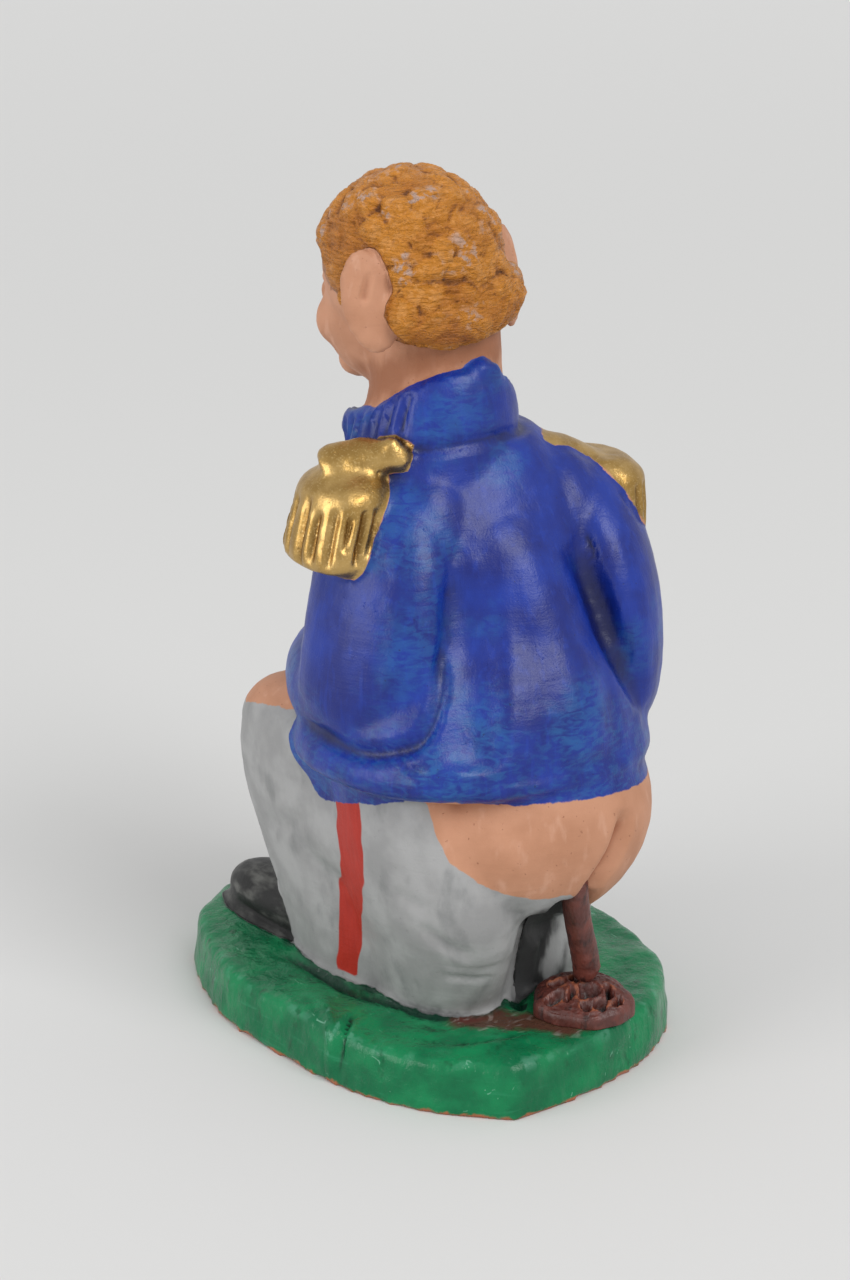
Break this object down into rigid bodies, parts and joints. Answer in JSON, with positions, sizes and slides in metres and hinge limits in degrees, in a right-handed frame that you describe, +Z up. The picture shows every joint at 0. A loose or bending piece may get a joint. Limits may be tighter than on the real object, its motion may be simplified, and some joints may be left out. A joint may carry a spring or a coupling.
{
  "type": "caganer figurine",
  "caption": "Painted clay figurine of a squatting man in a tunic with epaulettes, trousers lowered, moulded in one with its oval base.",
  "frame": {"origin": "middle of the bounding box on the underside of the base", "axes": "+Z up, the figure faces -Y and its left hand side is +X"},
  "size_m": [0.0418, 0.055, 0.087],
  "materials": {
    "painted_clay": "satin hand-painted fired clay",
    "brown_clay": "satin brown paint on clay"
  },
  "bodies": {
    "root": {"figure": "painted_clay", "rod": "brown_clay", "pile": "brown_clay"}
  },
  "joints": []
}
